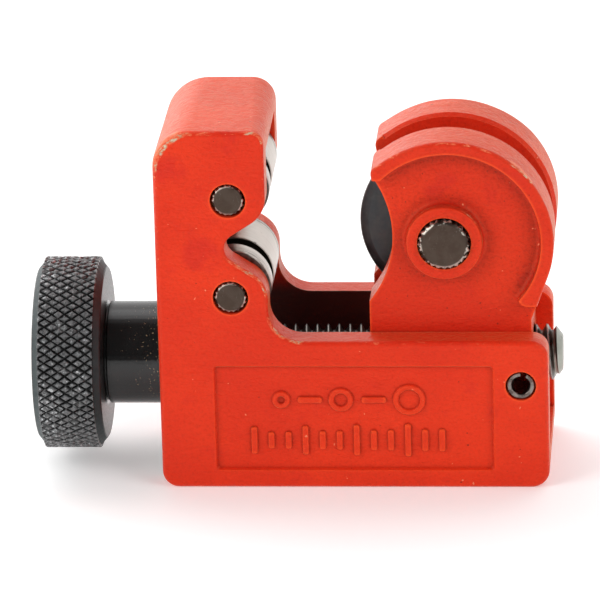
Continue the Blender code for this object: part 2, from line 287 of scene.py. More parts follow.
def eased(profile, radius, steps=3):
    """Profile of (radius, height) points with every inner corner rounded by the given radius."""
    points = [profile[0]]
    for before, here, after in zip(profile, profile[1:], profile[2:]):
        corner = Vector(here)
        back = Vector(before) - corner
        onward = Vector(after) - corner
        reach = min(radius, back.length * 0.45, onward.length * 0.45)
        first = corner + back.normalized() * reach
        last = corner + onward.normalized() * reach
        for step in range(steps + 1):
            part = step / steps
            near = first.lerp(corner, part)
            far = corner.lerp(last, part)
            points.append(tuple(near.lerp(far, part)))
    points.append(profile[-1])
    return points


# Objects

def tool(shape, location=(0, 0, 0), rotation=(0, 0, 0)):
    """Object made from a bmesh that only serves to cut or add to another one."""
    bmesh.ops.recalc_face_normals(shape, faces=shape.faces)
    mesh = bpy.data.meshes.new("tool")
    shape.to_mesh(mesh)
    shape.free()
    made = bpy.data.objects.new("tool", mesh)
    made.location = location
    made.rotation_euler = rotation
    bpy.context.scene.collection.objects.link(made)
    return made


def settle(made):
    """Makes the result of an object's modifiers its mesh."""
    graph = bpy.context.evaluated_depsgraph_get()
    mesh = bpy.data.meshes.new_from_object(made.evaluated_get(graph))
    made.modifiers.clear()
    made.data = mesh


def cut(shape, location=(0, 0, 0), rotation=(0, 0, 0)):
    return "DIFFERENCE", tool(shape, location, rotation)


def carve(made, operations):
    """Applies (operation, tool) pairs to an object as exact Booleans, and removes the tools."""
    for operation, cutter in operations:
        boolean = made.modifiers.new("cut", "BOOLEAN")
        boolean.operation = operation
        boolean.object = cutter
        boolean.solver = "EXACT"
    settle(made)
    for operation, cutter in operations:
        bpy.data.objects.remove(cutter)


def soften(made, width, segments=2, angle=40):
    """Rounds the sharp edges of a mesh."""
    shape = bmesh.new()
    shape.from_mesh(made.data)
    bmesh.ops.remove_doubles(shape, verts=shape.verts, dist=0.004 * MM)
    bmesh.ops.dissolve_degenerate(shape, edges=shape.edges, dist=0.004 * MM)
    shape.to_mesh(made.data)
    shape.free()
    rounding = made.modifiers.new("rounding", "BEVEL")
    rounding.width = width
    rounding.segments = segments
    rounding.limit_method = "ANGLE"
    rounding.angle_limit = math.radians(angle)
    rounding.miter_outer = "MITER_ARC"
    settle(made)


def finish_piece(made, name, material, body, node, sharp=35):
    """Names a piece, shades it, and fixes it to its body in place of its CAD node."""
    made.name = name
    made.data.name = name
    made.data.materials.clear()
    made.data.materials.append(material)
    made.data.shade_smooth()
    made.data.set_sharp_from_angle(angle=math.radians(sharp))
    weighted = made.modifiers.new("weighted normals", "WEIGHTED_NORMAL")
    weighted.keep_sharp = True
    weighted.weight = 60
    settle(made)
    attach(made, body)
    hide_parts(node)
    return made


# Materials

class Finish:
    """One material, with short-hand for adding nodes to its tree."""

    def __init__(self, name, roughness, metallic=0.0):
        self.material = bpy.data.materials.new(name)
        self.material.use_nodes = True
        self.tree = self.material.node_tree
        self.shader = self.tree.nodes["Principled BSDF"]
        self.shader.inputs["Roughness"].default_value = roughness
        self.shader.inputs["Metallic"].default_value = metallic
        self.place = self.node("TexCoord").outputs["Object"]

    def node(self, kind, inputs=(), **settings):
        made = self.tree.nodes.new("ShaderNode" + kind)
        for key, value in settings.items():
            setattr(made, key, value)
        for socket, value in inputs:
            self.feed(made.inputs[socket], value)
        return made

    def feed(self, socket, value):
        """Links a node's output to a socket, or sets a number, a vector or a colour without its alpha."""
        if isinstance(value, bpy.types.NodeSocket):
            self.tree.links.new(value, socket)
        elif socket.type == "RGBA":
            socket.default_value = (*value, 1)
        else:
            socket.default_value = value

    def noise(self, scale, detail=2.0, roughness=0.5, stretch=(1, 1, 1), distortion=0.0):
        """Noise from 0 to 1; scale is in features per metre."""
        moved = self.node("Mapping", [("Vector", self.place), ("Scale", stretch)])
        made = self.node("TexNoise", [("Vector", moved.outputs["Vector"]), ("Scale", scale),
                                      ("Detail", detail), ("Roughness", roughness),
                                      ("Distortion", distortion)])
        return made.outputs["Fac"]

    def span(self, value, low, high, to_low=0.0, to_high=1.0):
        """Value from low..high mapped smoothly to to_low..to_high, and held there outside."""
        made = self.node("MapRange", [(0, value), (1, low), (2, high), (3, to_low), (4, to_high)],
                         interpolation_type="SMOOTHSTEP")
        return made.outputs[0]

    def math(self, operation, first, second):
        return self.node("Math", [(0, first), (1, second)], operation=operation).outputs[0]

    def times(self, first, second):
        return self.math("MULTIPLY", first, second)

    def plus(self, first, second):
        return self.math("ADD", first, second)

    def mix(self, factor, first, second):
        """Colours first and second mixed by factor."""
        made = self.node("Mix", [(0, factor), (6, first), (7, second)], data_type="RGBA")
        return made.outputs[2]

    def axes(self):
        split = self.node("SeparateXYZ", [(0, self.place)])
        return split.outputs

    def reach(self):
        """Distance from a turned part's own Z axis."""
        x, y, z = self.axes()
        flat = self.node("CombineXYZ", [(0, x), (1, y), (2, 0.0)])
        return self.node("VectorMath", [(0, flat.outputs[0])], operation="LENGTH").outputs["Value"]

    def rings(self, reach, scale):
        """Fine rings about the axis, as if left by a lathe."""
        return self.node("TexNoise", [("W", reach), ("Scale", scale), ("Detail", 3.0)],
                         noise_dimensions="1D").outputs["Fac"]

    def spot(self, centre, radius):
        """1 at a place and 0 beyond the radius round it."""
        moved = self.node("VectorMath", [(0, self.place), (1, centre)], operation="SUBTRACT")
        length = self.node("VectorMath", [(0, moved.outputs[0])], operation="LENGTH")
        return self.span(length.outputs["Value"], radius * 0.5, radius, 1.0, 0.0)

    def occlusion(self, distance, inside=False):
        """1 on open faces, less in a crease, or with inside less near an outer edge."""
        made = self.node("AmbientOcclusion", [("Distance", distance)], samples=8, inside=inside,
                         only_local=True)
        return made.outputs["AO"]

    def bump(self, *layers):
        """Chain of bumps from (height, depth in metres) pairs, fed to the shader."""
        normal = None
        for height, depth in layers:
            inputs = [("Height", height), ("Distance", depth), ("Strength", 1.0)]
            if normal:
                inputs.append(("Normal", normal))
            normal = self.node("Bump", inputs).outputs["Normal"]
        self.feed(self.shader.inputs["Normal"], normal)

    def surface(self, colour=None, roughness=None, metallic=None):
        for socket, value in (("Base Color", colour), ("Roughness", roughness), ("Metallic", metallic)):
            if value is not None:
                self.feed(self.shader.inputs[socket], value)


BARE_METAL = (0.62, 0.50, 0.36)
PRIMER = (0.80, 0.58, 0.40)
PAINT_DEEP = (0.68, 0.021, 0.0075)
PAINT_LIGHT = (0.76, 0.030, 0.0085)
PAINT_CRIMSON = (0.58, 0.010, 0.011)
# Dark paint for the casting grain and for painted shade, then light orange for painted edge highlights:
PAINT_GRAIN_AND_SHADE = (0.24, 0.007, 0.004)
PAINT_EDGE_HIGHLIGHT = (0.90, 0.085, 0.018)
PAINT_GLOSS = (1.0, 0.66, 0.36)
PAINT_SHEEN = (0.42, 0.50, 0.17)
PAINT_IOR = 1.43


def red_paint(name, edge_y, worn_spots, blotches_and_shade, coarse, darkened_channel=False):
    """Semi-gloss red paint on a sand casting: orange peel, specks, chips along the outer edges.

    edge_y is how far the outer faces lie from the mid-plane. worn_spots lists (centre, radius, strength)
    of the places where the paint has chipped off the edge, from a bruise that counts in full, and the
    spot list after it gives (centre, radius) of darker crimson spots: blotches on the body, and on the
    head mostly painted shade under the rim. coarse is for the head, whose casting grain shows through
    and whose recess gets painted shade where the rim stands over it.
    """
    made = Finish(name, 0.4)
    x, y, z = made.axes()
    side = made.math("ABSOLUTE", y, 0.0)
    broad = made.noise(90, 3, 0.5)
    patches = made.noise(420, 4, 0.6)
    peel = made.noise(1900, 3, 0.6, (0.6, 0.9, 1.2), 0.8)
    grain = made.noise(3600, 4, 0.7)
    pits = made.noise(2600, 1, 0.5)
    flecks = made.noise(2300, 1, 0.5, (1.1, 1, 0.9))

    colour = made.mix(made.span(broad, 0.35, 0.68), PAINT_DEEP, PAINT_LIGHT)
    colour = made.mix(made.span(patches, 0.56, 0.74, 0.0, 0.30), colour, PAINT_CRIMSON)
    for centre, radius in blotches_and_shade:
        blotch = made.times(made.spot(centre, radius), made.span(patches, 0.38, 0.60, 0.0, 0.55))
        colour = made.mix(blotch, colour, PAINT_CRIMSON)
    mottle = made.span(grain, 0.42, 0.74)
    if coarse:
        # Painted shade: the head's recess is coloured darker where the rim stands over it, and its grain
        # shows stronger there
        hollow = made.span(made.occlusion(3.0 * MM), 0.55, 0.99, 1.0, 0.0)
        mottle = made.times(mottle, made.plus(made.times(hollow, 0.75), 0.25))
        colour = made.mix(made.plus(made.times(hollow, 0.50), 0.05), colour, PAINT_GRAIN_AND_SHADE)
    else:
        mottle = made.times(mottle, 0.20)
    colour = made.mix(mottle, colour, PAINT_GRAIN_AND_SHADE)
    colour = made.mix(made.span(pits, 0.76, 0.79, 0.0, 0.75), colour, (0.16, 0.010, 0.007))
    colour = made.mix(made.span(flecks, 0.775, 0.80, 0.0, 0.7), colour, (0.86, 0.30, 0.16))

    # Painted highlight lightens the outer edges to a bright orange, and painted shade darkens the creases
    edges = made.span(made.occlusion(0.36 * MM, inside=True), 0.50, 0.90, 0.7, 0.0)
    colour = made.mix(edges, colour, PAINT_EDGE_HIGHLIGHT)
    painted_crease_shade = made.span(made.occlusion(0.7 * MM), 0.50, 0.93, 0.58, 0.0)
    colour = made.mix(painted_crease_shade, colour, PAINT_GRAIN_AND_SHADE)

    # The paint is chipped along the edges, where the surface has just left the outer face, and thin over
    # a wider strip at the bruise
    bruise = made.spot(*worn_spots[0][:2])
    strip = made.span(side, edge_y - 0.36 * MM, edge_y - 0.22 * MM)
    wide_strip = made.times(made.span(side, edge_y - 1.05 * MM, edge_y - 0.60 * MM), bruise)
    inboard = made.span(side, edge_y - 0.07 * MM, edge_y - 0.02 * MM, 1.0, 0.0)
    near_edge = made.times(strip, inboard)
    near_bruise = made.times(wide_strip, inboard)
    if darkened_channel:
        off_panel = made.math("MAXIMUM",
                              made.math("GREATER_THAN", z, PANEL_TOP + 0.5 * MM),
                              made.math("LESS_THAN", z, PANEL_BOTTOM - 0.5 * MM))
        near_edge = made.times(near_edge, off_panel)
    ragged = made.noise(2500, 5, 0.75, (0.4, 1, 0.7), 0.6)
    worn = bruise
    for centre, radius, strength in worn_spots[1:]:
        here = made.times(made.spot(centre, radius), strength)
        worn = made.math("MAXIMUM", worn, here)
    bare_limit = made.plus(ragged, made.times(worn, 0.20))
    chip = made.times(made.span(bare_limit, 0.70, 0.755), near_edge)
    thin = made.times(made.span(bare_limit, 0.56, 0.70, 0.0, 0.8),
                      made.math("MAXIMUM", near_edge, near_bruise))
    colour = made.mix(thin, colour, (0.88, 0.20, 0.09))
    metal = made.mix(made.span(made.noise(3300, 3, 0.6), 0.40, 0.64), PRIMER, BARE_METAL)
    colour = made.mix(chip, colour, metal)

    if darkened_channel:
        # The channel's inner faces are coloured near-black below its top edge, over the part left of the
        # head's right end
        inside = made.span(side, CHANNEL_HALF + 0.02 * MM, CHANNEL_HALF + 0.10 * MM, 1.0, 0.0)
        ragged_top = made.plus(z, made.times(made.noise(700, 3), 1.0 * MM))
        low_down = made.span(ragged_top, CHANNEL_TOP + 0.2 * MM, CHANNEL_TOP + 2.6 * MM, 1.0, 0.0)
        to_left = made.span(x, SLIDER_LOW.x + 2 * MM, SLIDER_RIGHT - 2 * MM, 1.0, 0.0)
        dark_tone = made.times(made.times(inside, low_down), to_left)
        colour = made.mix(made.times(dark_tone, 0.98), colour, (0.110, 0.044, 0.042))

    rough = made.span(peel, 0.3, 0.7, 0.33, 0.47)
    rough = made.plus(rough, made.times(chip, 0.12))
    made.surface(colour, rough)
    for socket, value in (("IOR", PAINT_IOR), ("Specular Tint", PAINT_GLOSS), ("Sheen Weight", 0.40),
                          ("Sheen Roughness", 0.35), ("Sheen Tint", PAINT_SHEEN)):
        made.feed(made.shader.inputs[socket], value)
    chipped = made.times(chip, -1.0)
    grain_depth = (0.045 if coarse else 0.012) * MM
    made.bump((broad, 0.12 * MM), (peel, 0.085 * MM), (grain, grain_depth), (chipped, 0.05 * MM))
    return made.material


def ground_steel():
    """Ground rollers: fine lines round the axis, specks left by oiling, grime on the nose, a groove
    coloured near-black.
    """
    made = Finish("ground steel", 0.24, 1.0)
    z = made.axes()[2]
    reach = made.reach()
    lines = made.noise(9000, 2, 0.6, (0.02, 0.02, 1))
    scratches = made.noise(5200, 3, 0.7, (0.10, 0.10, 1))
    cloud = made.noise(500, 3, 0.6)
    specks = made.noise(2200, 2, 0.5)
    colour = made.mix(made.span(cloud, 0.35, 0.7), (0.56, 0.495, 0.445), (0.66, 0.595, 0.545))
    colour = made.mix(made.span(lines, 0.35, 0.6, 0.25, 0.0), colour, (0.40, 0.36, 0.32))
    colour = made.mix(made.span(specks, 0.72, 0.76), colour, (0.10, 0.07, 0.05))

    from_end = made.math("SUBTRACT", ROLLER_HALF, made.math("ABSOLUTE", z, 0.0))
    nose = made.span(from_end, 0.3 * MM, 1.5 * MM, 0.85, 0.0)
    grime = made.times(nose, made.span(scratches, 0.46, 0.56, 1.0, 0.0))
    colour = made.mix(grime, colour, (0.10, 0.085, 0.070))
    # Dirt and painted shade: the roller's end faces, which face the body's inner walls, are coloured
    # near-black
    end_dirt_and_shade = made.span(from_end, 0.01 * MM, 0.06 * MM, 0.85, 0.0)
    colour = made.mix(end_dirt_and_shade, colour, (0.055, 0.045, 0.038))

    # The groove is coloured near-black and made rougher
    off_middle = made.math("ABSOLUTE", made.math("SUBTRACT", z, GROOVE_MIDDLE), 0.0)
    within = made.math("LESS_THAN", off_middle, GROOVE_HALF + 0.02 * MM)
    sunk = made.span(reach, ROLLER_RADIUS - 0.14 * MM, ROLLER_RADIUS - 0.07 * MM, 1.0, 0.0)
    groove_darkening = made.times(within, sunk)
    colour = made.mix(groove_darkening, colour, (0.010, 0.008, 0.005))
    made.surface(colour, made.plus(made.span(cloud, 0.3, 0.7, 0.28, 0.42),
                                   made.times(groove_darkening, 0.35)))
    made.bump((lines, 0.010 * MM), (scratches, 0.004 * MM))
    return made.material


def pin_steel(name, radius):
    """A serrated pin: dull brown-grey end faces, and brighter worn crests round the rim."""
    made = Finish(name, 0.5, 1.0)
    cloud = made.noise(900, 4, 0.6)
    grit = made.noise(7000, 2, 0.6)
    reach = made.reach()
    rim = made.span(reach, radius * 0.80, radius * 0.88)
    nicks = made.times(rim, made.span(made.noise(1300, 3, 0.6), 0.47, 0.56))
    scuffs = made.span(made.noise(1600, 3, 0.7, (2.2, 0.7, 1), 1.5), 0.64, 0.70)
    colour = made.mix(made.span(cloud, 0.35, 0.68), (0.070, 0.049, 0.038), (0.095, 0.070, 0.056))
    colour = made.mix(made.times(scuffs, 0.35), colour, (0.26, 0.23, 0.20))
    colour = made.mix(made.times(rim, 0.65), colour, (0.035, 0.027, 0.022))
    colour = made.mix(made.times(nicks, 0.9), colour, (0.62, 0.57, 0.50))
    made.surface(colour, made.span(cloud, 0.3, 0.7, 0.42, 0.58))
    made.bump((cloud, 0.030 * MM), (grit, 0.010 * MM))
    return made.material


def tool_steel():
    """Dark ground wheel with lines round its axle."""
    made = Finish("tool steel", 0.40, 1.0)
    reach = made.reach()
    rings = made.rings(reach, 14000.0)
    cloud = made.noise(600, 3, 0.6)
    colour = made.mix(made.span(cloud, 0.35, 0.7), (0.052, 0.054, 0.056), (0.078, 0.077, 0.076))
    edge = made.span(reach, WHEEL_RADIUS - 0.12 * MM, WHEEL_RADIUS - 0.04 * MM)
    colour = made.mix(made.times(edge, 0.6), colour, (0.30, 0.29, 0.28))
    made.surface(colour, made.span(cloud, 0.3, 0.7, 0.38, 0.50))
    made.bump((rings, 0.005 * MM))
    return made.material


def screw_steel():
    """Bright screw: dark oiled roots, crests lighter as cleaner metal and as painted highlight, and a grey
    end.
    """
    made = Finish("screw steel", 0.3, 1.0)
    z = made.axes()[2]
    cloud = made.noise(1200, 3, 0.6)
    crest = made.span(made.reach(), THREAD_RADIUS - 0.10 * MM, THREAD_RADIUS - 0.01 * MM)
    end = made.span(z, SCREW_HIGH.x - 0.85 * MM, SCREW_HIGH.x - 0.65 * MM)
    # Painted highlight: the crests are coloured lighter, partly as cleaner metal, and more where the screw
    # stands out beyond the head than inside the channel
    lit_in_open = made.span(z, SLIDER_RIGHT - 1 * MM, SLIDER_RIGHT + 1 * MM, 0.22, 0.60)
    clean_and_lit_crests = made.times(crest, lit_in_open)
    dark_tone = made.mix(made.span(cloud, 0.4, 0.7), (0.050, 0.040, 0.034), (0.12, 0.10, 0.085))
    colour = made.mix(clean_and_lit_crests, dark_tone, made.mix(cloud, (0.50, 0.48, 0.45), (0.66, 0.65, 0.62)))
    colour = made.mix(end, colour, made.mix(cloud, (0.22, 0.22, 0.19), (0.46, 0.47, 0.42)))
    made.surface(colour, made.span(cloud, 0.3, 0.7, 0.26, 0.40))
    made.bump((cloud, 0.012 * MM))
    return made.material


def black_oxide():
    """Blackened knob and hub, rubbed grey on the knurl's crests, with specks near the body."""
    made = Finish("black oxide", 0.25, 0.0)
    z = made.axes()[2]
    reach = made.reach()
    turning = made.rings(reach, 9000.0)
    along = made.noise(5000, 2, 0.5, (0.03, 0.03, 1))
    cloud = made.noise(350, 3, 0.6)
    fine = made.noise(4000, 3, 0.65)
    nicks = made.noise(2600, 4, 0.75)
    colour = made.mix(made.span(cloud, 0.35, 0.7), (0.006, 0.006, 0.006), (0.012, 0.012, 0.012))

    on_band = made.span(reach, KNOB_RADIUS - 0.22 * MM, KNOB_RADIUS - 0.06 * MM)
    rubbed = made.times(on_band, made.span(fine, 0.32, 0.62, 0.35, 1.0))
    colour = made.mix(rubbed, colour, (0.135, 0.137, 0.140))
    outer = made.span(z, KNOB_LOW.x + 0.6 * MM, KNOB_LOW.x + 3.6 * MM, 0.065, 0.0)
    nick_limit = made.plus(nicks, outer)
    nicked = made.times(on_band, made.span(nick_limit, 0.58, 0.66))
    colour = made.mix(nicked, colour, (0.50, 0.51, 0.52))

    near_body = made.span(z, KNOB_HIGH.x - 3.6 * MM, KNOB_HIGH.x - 0.2 * MM, 0.0, 0.07)
    speck_limit = made.plus(made.noise(5600, 2, 0.5), near_body)
    specks = made.times(made.span(speck_limit, 0.715, 0.76),
                        made.math("GREATER_THAN", z, KNOB_RIGHT + 1.2 * MM))
    colour = made.mix(specks, colour, (0.34, 0.27, 0.16))
    chamfers = made.times(made.span(reach, KNOB_RADIUS - 1.0 * MM, KNOB_RADIUS - 0.9 * MM),
                          made.span(reach, KNOB_RADIUS - 0.34 * MM, KNOB_RADIUS - 0.26 * MM, 1.0, 0.0))
    colour = made.mix(chamfers, colour, (0.010, 0.022, 0.023))
    rough = made.plus(made.span(fine, 0.3, 0.7, 0.15, 0.25), made.times(rubbed, 0.15))
    inner_face = made.times(made.math("GREATER_THAN", reach, HUB_RADIUS + 0.1 * MM),
                            made.math("GREATER_THAN", z, KNOB_RIGHT - 0.05 * MM))
    rough = made.plus(rough, made.times(chamfers, 0.35))
    rough = made.plus(rough, made.times(inner_face, 0.12))
    metallic = made.times(nicked, 0.8)
    made.surface(colour, rough, metallic)
    made.bump((turning, 0.009 * MM), (along, 0.003 * MM), (fine, 0.006 * MM),
              (made.times(nicks, on_band), 0.06 * MM))
    return made.material


def spring_steel():
    """Oiled spring steel of the slotted pin and the ring."""
    made = Finish("spring steel", 0.32, 1.0)
    cloud = made.noise(1500, 3, 0.6)
    colour = made.mix(made.span(cloud, 0.35, 0.68), (0.10, 0.08, 0.07), (0.29, 0.26, 0.235))
    made.surface(colour, made.span(cloud, 0.3, 0.7, 0.24, 0.42))
    made.bump((cloud, 0.012 * MM))
    return made.material


# Pieces

def size_marks():
    """Raised marks on the label panel: tubes of growing size over a stepped scale, with no lettering."""
    floor = -HALF_DEPTH + PANEL_DEPTH
    face = floor - 0.27 * MM
    foot = floor + 0.10 * MM
    marks = []

    def ring(x, z, outer, width):
        shape = bmesh.new()
        rows = []
        for radius, y in ((outer, foot), (outer - 0.04 * MM, face + 0.09 * MM), (outer - 0.12 * MM, face),
                          (outer - width + 0.12 * MM, face), (outer - width + 0.04 * MM, face + 0.09 * MM),
                          (outer - width, foot)):
            rows.append([shape.verts.new((px, y, pz)) for px, pz in arc((x, z), radius, 0, 351, 39)])
        for lower, upper in zip(rows, rows[1:] + rows[:1]):
            join_rings(shape, lower, upper)
        marks.append(shape)

    def bar(x, z, half_length, half_height):
        outline = rounded_box(x - half_length, x + half_length, z - half_height, z + half_height,
                              min(half_length, half_height) * 0.7, 3)
        marks.append(softened_prism(outline, face, foot, 0.10 * MM, NO_FILLET, steps=3))

    centre = (PANEL_LEFT + PANEL_RIGHT) / 2 - 0.6 * MM
    upper = PANEL_BOTTOM + 6.6 * MM
    lower = PANEL_BOTTOM + 2.7 * MM
    stroke = 0.56 * MM
    ring(centre - 6.0 * MM, upper, 0.85 * MM, stroke)
    bar(centre - 3.4 * MM, upper, 1.1 * MM, stroke / 2)
    ring(centre - 0.6 * MM, upper, 1.15 * MM, stroke)
    bar(centre + 2.4 * MM, upper, 1.1 * MM, stroke / 2)
    ring(centre + 5.6 * MM, upper, 1.5 * MM, stroke)
    ticks = 12
    for index in range(ticks):
        height = (0.75 + 0.55 * (index % 3 == 0) + 0.35 * index / ticks) * MM
        bar(centre + (index - (ticks - 1) / 2) * 1.55 * MM, lower, stroke / 2, height)
    return marks


def on_front(depth, places):
    """Spots on a front face, from (x, z, millimetres right, millimetres up, radius, strength) rows."""
    return [((x + right * MM, -depth, z + up * MM), radius * MM, *strength)
            for x, z, right, up, radius, *strength in places]


def make_body():
    def side_outline(top_right, top_left):
        corners = [
            (LEFT, 0, 1.5), (RIGHT, 0, 1.6), (RIGHT, CHANNEL_TOP, 1.5), (CHEEK_RIGHT, CHANNEL_TOP, 3.0),
            (CHEEK_RIGHT, NOTCH_Z - NOTCH_HALF, 2.95), (CHEEK_RIGHT - NOTCH_DEPTH, NOTCH_Z, 1.4),
            (CHEEK_RIGHT, NOTCH_Z + NOTCH_HALF, 2.95), (CHEEK_RIGHT, TOP, top_right), (LEFT, TOP, top_left),
        ]
        return rounded([(x, z, radius * MM) for x, z, radius in corners], steps=14)

    outline = side_outline(1.15, 3.4)
    bruise = Vector((LEFT + 1.2 * MM, TOP - 1.4 * MM))

    def widen(x, z, side):
        """The front edge is flattened where the tool has been knocked, at its upper left corner."""
        distance = (Vector((x, z)) - bruise).length
        return 1 + (side == 1) * 1.35 * max(0, 1 - distance / (3.2 * MM)) ** 0.8

    body = tool(softened_prism(outline, -HALF_DEPTH, HALF_DEPTH, BODY_FILLET, BODY_FILLET, widen=widen,
                               high_outline=side_outline(2.1, 4.0)))

    beyond = RIGHT + 5 * MM
    outside = HALF_DEPTH * 1.2
    wall = LEFT + END_WALL
    hollow = rounded([
        (wall, CHANNEL_FLOOR, 0.5 * MM), (beyond, CHANNEL_FLOOR, 0), (beyond, TOP - TOP_WALL, 0),
        (LEFT + BACK_WALL, TOP - TOP_WALL, 0.8 * MM), (LEFT + BACK_WALL, POCKET_FLOOR, 0.8 * MM),
        (wall, POCKET_FLOOR, 0.5 * MM),
    ], steps=6)
    cuts = [
        cut(prism(hollow, -CHANNEL_HALF, CHANNEL_HALF)),
        cut(rod(SCREW_HOLE, -1 * MM, END_WALL + 1 * MM), (LEFT, 0, SCREW_Z), ALONG_X),
        cut(rod(STOP_HOLE, -outside, -CHANNEL_HALF / 2, 48), (STOP.x, 0, STOP.z), ALONG_Y),
    ]
    for pin in (LOWER_PIN, UPPER_PIN):
        cuts.append(cut(rod(PIN_HOLE, -outside, outside, 64), (pin.x, 0, pin.z), ALONG_Y))
    rings = []
    for slope, y in ((0, -HALF_DEPTH + PANEL_DEPTH), (PANEL_SLOPE, -HALF_DEPTH),
                     (PANEL_SLOPE * 2, -HALF_DEPTH - PANEL_DEPTH)):
        mouth = rounded_box(PANEL_LEFT - slope, PANEL_RIGHT + slope, PANEL_BOTTOM - slope,
                            PANEL_TOP + slope, 0.3 * MM, 4)
        rings.append([(x, y, z) for x, z in mouth])
    cuts.append(cut(loft(rings)))
    carve(body, cuts)
    carve(body, [("UNION", tool(mark)) for mark in size_marks()])
    soften(body, 0.13 * MM)

    worn = on_front(HALF_DEPTH, [
        (LEFT, TOP, 1.2, -1.6, 3.2, 1.0), (LEFT, TOP, 4.6, -0.3, 1.6, 0.35),
        (CHEEK_RIGHT, TOP, -0.9, -0.7, 1.3, 0.9), (CHEEK_RIGHT, NOTCH_Z, -1.6, -2.5, 3.2, 0.75),
        (CHEEK_RIGHT, CHANNEL_TOP, 1.4, 0.9, 2.6, 0.75),
    ])
    blotches_and_shade = on_front(HALF_DEPTH, [
        (LEFT, NOTCH_Z, 4.2, -0.6, 2.3), (LEFT, TOP, 1.6, -3.6, 2.0), (LEFT, TOP, 6.6, -1.0, 1.6),
    ])
    paint = red_paint("red paint on the body", HALF_DEPTH, worn, blotches_and_shade, False, darkened_channel=True)
    finish_piece(body, "body_casting", paint, "frame", "body")


def slot_mouth():
    """Bmesh of a ring sector that chamfers the two edges where the wheel's slot meets the head's arc."""
    section = ((-0.32, -0.02), (0.30, -0.58), (0.30, 0.58), (-0.32, 0.02))
    start = -16
    sweep = ARC_END + 22
    steps = 60
    rings = []
    for step in range(steps + 1):
        angle = math.radians(start + sweep * step / steps)
        ring = []
        for outward, spread in section:
            radius = HEAD_RADIUS + outward * MM
            y = math.copysign(SLOT_HALF, spread) + spread * MM
            ring.append((HEAD_CENTRE.x + radius * math.cos(angle), y,
                         HEAD_CENTRE.y + radius * math.sin(angle)))
        rings.append(ring)
    return loft(rings)


